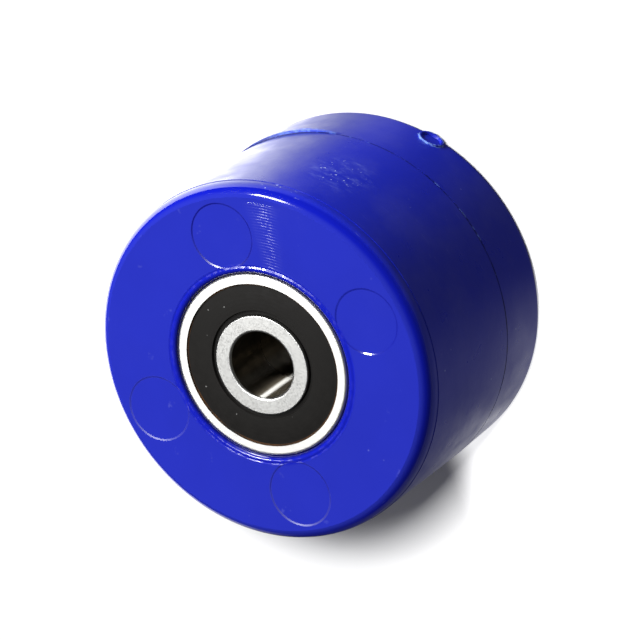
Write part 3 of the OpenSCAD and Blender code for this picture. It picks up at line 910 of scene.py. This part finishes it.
class ROLLER_OT_body(bpy.types.Operator):
    """Turns the moulded roller body and gives it its mould marks, flash and broken gate"""
    bl_idname = "roller.body"
    bl_label = "Roller body"

    def execute(self, context):
        sizes = context.scene.roller_body_sizes
        marks = context.scene.roller_mould_marks
        body = turn_piece("moulded_roller", self.section(context), sizes.turns)
        combine(body, self.flash(context), "UNION")
        combine(body, self.gate(context), "UNION")
        for x, y in pin_places(marks):
            bpy.ops.mesh.primitive_cone_add(vertices=128, radius1=marks.pin_d / 2 - marks.pin_slope / 2,
                                            radius2=marks.pin_d / 2 + marks.pin_slope * 1.5,
                                            depth=2 * marks.pin_depth, location=(x, y, sizes.width))
            combine(body, context.object, "DIFFERENCE")
        clean_surface(body, soft_angle=9)
        give(body, plastic_material())
        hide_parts("roller_body")
        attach(body, "roller")
        return {"FINISHED"}

    @staticmethod
    def rear_radius(sizes):
        """Radius of the barrel where it meets the rear rim"""
        return sizes.parting_r - (sizes.parting_h - sizes.rim_r) * math.tan(sizes.rear_draft)

    def section(self, context):
        """Section of the roller with its pockets, rims, drafts and witness line"""
        sizes = context.scene.roller_body_sizes
        marks = context.scene.roller_mould_marks
        bearing = context.scene.roller_bearing_sizes
        width, rim, mouth = sizes.width, sizes.rim_r, sizes.mouth_r
        pocket_r = bearing.outside_r
        pocket_depth = bearing.inset + bearing.width
        waist_r = pocket_r - sizes.shoulder_w
        lip_r = pocket_r + mouth + sizes.mouth_edge
        band_z = width - rim - sizes.witness_band
        witness_r = sizes.parting_r - (band_z - sizes.parting_h) * math.tan(sizes.front_draft)
        front_r = witness_r - sizes.witness_step
        rear_r = self.rear_radius(sizes)
        groove = sizes.parting_groove
        points = [(waist_r, pocket_depth), (pocket_r, pocket_depth)]
        points += arc((pocket_r + mouth, mouth), mouth, 180, 270)
        points += [(lip_r, 0), (rear_r - rim - sizes.mouth_edge, 0)]
        points += arc((rear_r - rim, rim), rim, 270, 360)
        points += [(sizes.parting_r - groove * 0.02, sizes.parting_h - groove),
                   (sizes.parting_r - groove, sizes.parting_h),
                   (sizes.parting_r - groove * 0.01, sizes.parting_h + groove)]
        points += [(witness_r, band_z), (front_r, band_z)]
        rim_turn = 90 - math.degrees(sizes.rim_edge)
        points += arc((front_r - rim, width - rim * math.cos(sizes.rim_edge)), rim, 0, rim_turn)
        points += [(lip_r + marks.lip_w, width), (lip_r + marks.lip_w / 2, width - marks.lip_depth),
                   (lip_r, width)]
        points += arc((pocket_r + mouth, width - mouth), mouth, 90, 180)
        points += [(pocket_r, width - pocket_depth), (waist_r, width - pocket_depth)]
        return points

    def flash(self, context):
        """Thin moon of plastic at the parting line: a disc set off the axis, less its hidden middle"""
        sizes = context.scene.roller_body_sizes
        marks = context.scene.roller_mould_marks
        barrel_r = sizes.parting_r
        tip = barrel_r + marks.flash_proud
        offset = (tip ** 2 - barrel_r ** 2) / (2 * (tip - barrel_r * math.cos(marks.flash_half_angle)))
        height = sizes.parting_h - sizes.parting_groove / 2 - marks.flash_t / 2
        place = (offset * math.cos(marks.flash_angle), offset * math.sin(marks.flash_angle), height)
        moon_r = tip - offset - marks.flash_tear / 3
        bpy.ops.mesh.primitive_cylinder_add(vertices=480, radius=moon_r, depth=marks.flash_t, location=place)
        moon = context.object
        bpy.ops.object.transform_apply(location=True, rotation=True, scale=True)
        roughen(moon, size=0.35 * MM, depth=marks.flash_tear)
        bpy.ops.mesh.primitive_cylinder_add(vertices=128, radius=barrel_r - sizes.rim_r,
                                            depth=8 * marks.flash_t, location=(0, 0, height))
        combine(moon, context.object, "DIFFERENCE")
        return moon

    def gate(self, context):
        """Stub of the broken gate with its torn hollow end"""
        sizes = context.scene.roller_body_sizes
        marks = context.scene.roller_mould_marks
        stub = sizes.rim_r + marks.gate_proud
        bpy.ops.mesh.primitive_cylinder_add(vertices=48, radius=0.5, depth=stub)
        gate = context.object
        gate.scale = (marks.gate_h, marks.gate_w, 1)
        bpy.ops.object.transform_apply(location=False, rotation=False, scale=True)
        bpy.ops.object.mode_set(mode="EDIT")
        select_faces(gate, lambda centre, normal: normal.z > 0.9)
        bpy.ops.mesh.inset(thickness=marks.gate_border)
        bpy.ops.mesh.inset(thickness=marks.gate_hollow / 2, depth=-marks.gate_hollow)
        bpy.ops.mesh.inset(thickness=marks.gate_hollow, depth=-marks.gate_hollow / 6)
        bpy.ops.object.mode_set(mode="OBJECT")
        roughen(gate, size=0.4 * MM, depth=marks.gate_tear)
        reach = self.rear_radius(sizes) + marks.gate_proud - stub / 2
        gate.rotation_euler = (0, math.pi / 2, marks.gate_angle)
        gate.location = (reach * math.cos(marks.gate_angle), reach * math.sin(marks.gate_angle),
                         marks.gate_z + marks.gate_h / 2)
        bpy.ops.object.transform_apply(location=True, rotation=True, scale=True)
        return gate


# Bearings

Bearing = namedtuple("Bearing", "top low inner_race outer_race inner_land outer_land seal_r bead_r back")


def front_bearing(context):
    """Heights and radii of the front bearing that the rings and the seals share."""
    sizes = context.scene.roller_bearing_sizes
    top = context.scene.roller_body_sizes.width - sizes.inset
    pitch_r = (sizes.bore_r + sizes.outside_r) / 2
    inner_race = pitch_r - sizes.ball_r - sizes.ball_play
    outer_race = pitch_r + sizes.ball_r + sizes.ball_play
    seal_r = sizes.outside_r - sizes.ring_face_w
    return Bearing(top=top, low=top - sizes.width, inner_race=inner_race, outer_race=outer_race,
                   inner_land=inner_race + sizes.inner_race_depth,
                   outer_land=outer_race - sizes.outer_race_depth,
                   seal_r=seal_r, bead_r=seal_r + sizes.bead_reach, back=sizes.seal_inset + sizes.seal_t)


def mirrored(points, width):
    """The same section seen from the roller's other end."""
    return [(point[0], width - point[1]) for point in reversed(points)]


def line_bore(obj, bore_r):
    """Gives the bore its own steel, with the roundings where the inner rings and the spacer meet."""
    obj.data.materials.append(bore_material())
    select_only(obj)
    bpy.ops.object.mode_set(mode="EDIT")
    middle = (BODY_LOW.z + BODY_HIGH.z) / 2
    joint_zone = RING_LOW.z + 1 * MM - middle
    wall_r = bore_r + 0.05 * MM
    rounding_r = wall_r + 0.3 * MM

    def in_bore(centre, normal):
        at_joint = abs(centre.z - middle) < joint_zone and centre.xy.length < rounding_r
        on_wall = centre.xy.length < wall_r and abs(normal.z) < 0.3
        return at_joint or on_wall

    select_faces(obj, in_bore)
    obj.active_material_index = 1
    bpy.ops.object.material_slot_assign()
    bpy.ops.object.mode_set(mode="OBJECT")


def bearing_pieces(context, kind, material, points):
    """Turns one kind of bearing part, once for each end, and puts each on its body."""
    width = context.scene.roller_body_sizes.width
    for side in ("front", "rear"):
        name = f"{side}_{kind}"
        section = points if side == "front" else mirrored(points, width)
        piece = turn_piece(f"{name}_detailed", section, BEARING_TURNS)
        give(piece, material)
        if kind == "inner_ring":
            line_bore(piece, context.scene.roller_bearing_sizes.bore_r)
        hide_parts(name)
        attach(piece, "axle_core" if kind == "inner_ring" else "roller")


class ROLLER_OT_rings(bpy.types.Operator):
    """Turns the inner and outer rings of both bearings"""
    bl_idname = "roller.rings"
    bl_label = "Bearing rings"

    def execute(self, context):
        finish = context.scene.roller_finish
        polished = steel_material("Ground ring steel", finish.ring_steel, 0.44, 0.12, 0.0002, stained=0.05)
        bearing_pieces(context, "outer_ring", polished, self.outer_section(context))
        satin = steel_material("Satin inner ring steel", scaled(finish.ring_steel, 0.74), 0.36, 0.1, 0.0003,
                               stained=0.3)
        bearing_pieces(context, "inner_ring", satin, self.inner_section(context))
        return {"FINISHED"}

    def outer_section(self, context):
        """Section of the outer ring with its raceway and its two seal grooves"""
        sizes = context.scene.roller_bearing_sizes
        bearing = front_bearing(context)
        top, low, outside_r = bearing.top, bearing.low, sizes.outside_r
        middle = (bearing.outer_race - sizes.race_r, (top + low) / 2)
        edge, race, slope = sizes.ring_round, sizes.race_r, sizes.bead_slope
        flat = edge + sizes.edge_hold
        reach = math.degrees(math.acos((race - sizes.outer_race_depth) / race))
        points = [(outside_r - flat, low)]
        points += arc((outside_r - edge, low + edge), edge, 270, 360, RING_CORNER_STEPS)
        points += [(outside_r, low + flat), (outside_r, top - flat)]
        points += arc((outside_r - edge, top - edge), edge, 0, 90, RING_CORNER_STEPS)
        points += [(outside_r - flat, top)]
        groove = [(bearing.seal_r, 0), (bearing.seal_r, sizes.seal_inset + slope),
                  (bearing.bead_r, sizes.seal_inset + 2 * slope), (bearing.bead_r, bearing.back - slope),
                  (bearing.seal_r - sizes.seal_root, bearing.back), (bearing.outer_land, bearing.back)]
        points += [(radius, top - depth) for radius, depth in groove]
        points += arc(middle, race, reach, -reach, RACE_STEPS)
        points += [(radius, low + depth) for radius, depth in reversed(groove)]
        return points

    def inner_section(self, context):
        """Section of the inner ring with its raceway and its rounded lands"""
        sizes = context.scene.roller_bearing_sizes
        bearing = front_bearing(context)
        top, low, bore_r, land_r = bearing.top, bearing.low, sizes.bore_r, bearing.inner_land
        middle = (bearing.inner_race + sizes.race_r, (top + low) / 2)
        edge, small, race = sizes.ring_round, sizes.land_round, sizes.race_r
        flat, small_flat = edge + sizes.edge_hold, small + sizes.edge_hold
        reach = math.degrees(math.acos((race - sizes.inner_race_depth) / race))
        points = [(bore_r, low + flat)]
        points += arc((bore_r + edge, low + edge), edge, 180, 270, RING_CORNER_STEPS)
        points += [(bore_r + flat, low), (land_r - small_flat, low)]
        points += arc((land_r - small, low + small), small, 270, 360, LAND_CORNER_STEPS)
        points += arc(middle, race, 180 + reach, 180 - reach, RACE_STEPS)
        points += arc((land_r - small, top - small), small, 0, 90, LAND_CORNER_STEPS)
        points += [(land_r - small_flat, top), (bore_r + flat, top)]
        points += arc((bore_r + edge, top - edge), edge, 90, 180, RING_CORNER_STEPS)
        points += [(bore_r, top - flat)]
        return points


class ROLLER_OT_seals(bpy.types.Operator):
    """Turns the four rubber seals"""
    bl_idname = "roller.seals"
    bl_label = "Bearing seals"

    def execute(self, context):
        bearing = front_bearing(context)
        section = self.section(context, bearing)
        rubber = rubber_material()
        outward = [(radius, bearing.top - depth) for radius, depth in section]
        bearing_pieces(context, "outer_seal", rubber, outward)
        inward = [(radius, bearing.low + depth) for radius, depth in reversed(section)]
        bearing_pieces(context, "inner_seal", rubber, inward)
        return {"FINISHED"}

    def section(self, context, bearing):
        """Radii and depths of a seal below the ring's face, from its thin lip to the bead in its groove"""
        sizes = context.scene.roller_bearing_sizes
        slope, face, back = sizes.bead_slope, sizes.seal_inset, bearing.back
        seal_r, bead_r = bearing.seal_r, bearing.bead_r
        lip_r = bearing.inner_land + sizes.lip_gap
        lip_end = lip_r + sizes.lip_w
        lip_face = face + sizes.lip_drop
        return [(lip_r, lip_face), (lip_end - slope / 2, lip_face), (lip_end, lip_face - slope / 2),
                (lip_end + slope * 0.6, face + slope / 2), (lip_end + slope, face),
                (seal_r - 4 * slope, face), (seal_r - 3 * slope, face + slope * 0.3),
                (seal_r - 1.5 * slope, face + slope * 0.3), (seal_r - slope, face + slope * 0.2),
                (seal_r, face + slope), (bead_r, face + 2 * slope), (bead_r, back - slope),
                (seal_r - sizes.seal_root, back), (lip_end + slope, back),
                (lip_r, lip_face + sizes.lip_gap + slope)]


class ROLLER_OT_spacer(bpy.types.Operator):
    """Turns the spacer tube between the inner rings"""
    bl_idname = "roller.spacer"
    bl_label = "Spacer tube"

    def execute(self, context):
        sizes = context.scene.roller_bearing_sizes
        low, high = SPACER_LOW.z, SPACER_HIGH.z
        bore_r, outside_r, edge = sizes.bore_r + sizes.spacer_gap, sizes.spacer_r, sizes.spacer_edge
        section = [(bore_r, low), (outside_r - edge, low), (outside_r, low + edge), (outside_r, high - edge),
                   (outside_r - edge, high), (bore_r, high)]
        piece = turn_piece("spacer_tube_detailed", section, BEARING_TURNS)
        steel = context.scene.roller_finish.spacer_steel
        give(piece, steel_material("Turned spacer steel", steel, 0.3, 0.3, 0.002, "Height"))
        line_bore(piece, bore_r)
        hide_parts("spacer_tube")
        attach(piece, "axle_core")
        return {"FINISHED"}


class ROLLER_OT_balls_and_cages(bpy.types.Operator):
    """Gives the balls and the pressed cages their steel"""
    bl_idname = "roller.balls_and_cages"
    bl_label = "Balls and cages"

    def execute(self, context):
        finish = context.scene.roller_finish
        chrome = steel_material("Polished ball steel", finish.ball_steel, 0.06, 0.05, 0.0001)
        pressed = steel_material("Pressed cage steel", finish.cage_steel, 0.36, 0.22, 0.0015)
        for name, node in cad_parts.items():
            if "_ball_" in name:
                give(node, chrome)
            elif "_cage_" in name:
                give(node, pressed)
        return {"FINISHED"}


class ROLLER_PT_panel(bpy.types.Panel):
    bl_label = "Chain guide roller"
    bl_idname = "ROLLER_PT_panel"
    bl_space_type = "VIEW_3D"
    bl_region_type = "UI"
    bl_category = "Roller"

    def draw(self, context):
        for operator in OPERATORS:
            self.layout.operator(operator.bl_idname)
        for group in GROUPS:
            box = self.layout.box()
            for name in GROUPS[group].__annotations__:
                box.prop(getattr(context.scene, group), name)


OPERATORS = (ROLLER_OT_stage, ROLLER_OT_body, ROLLER_OT_rings, ROLLER_OT_seals, ROLLER_OT_spacer,
             ROLLER_OT_balls_and_cages)
GROUPS = {
    "roller_body_sizes": RollerBodySizes,
    "roller_mould_marks": MouldMarks,
    "roller_bearing_sizes": BearingSizes,
    "roller_finish": RollerFinish,
    "roller_stage_light": StageLight,
}


def register():
    for group in GROUPS.values():
        bpy.utils.register_class(group)
    for operator in OPERATORS:
        bpy.utils.register_class(operator)
    bpy.utils.register_class(ROLLER_PT_panel)
    for name, group in GROUPS.items():
        setattr(bpy.types.Scene, name, PointerProperty(type=group))


def unregister():
    for name in GROUPS:
        delattr(bpy.types.Scene, name)
    bpy.utils.unregister_class(ROLLER_PT_panel)
    for operator in reversed(OPERATORS):
        bpy.utils.unregister_class(operator)
    for group in reversed(list(GROUPS.values())):
        bpy.utils.unregister_class(group)


def main():
    register()
    bpy.ops.roller.stage()
    bpy.ops.roller.body()
    bpy.ops.roller.rings()
    bpy.ops.roller.seals()
    bpy.ops.roller.spacer()
    bpy.ops.roller.balls_and_cages()


if __name__ == "__main__":
    main()
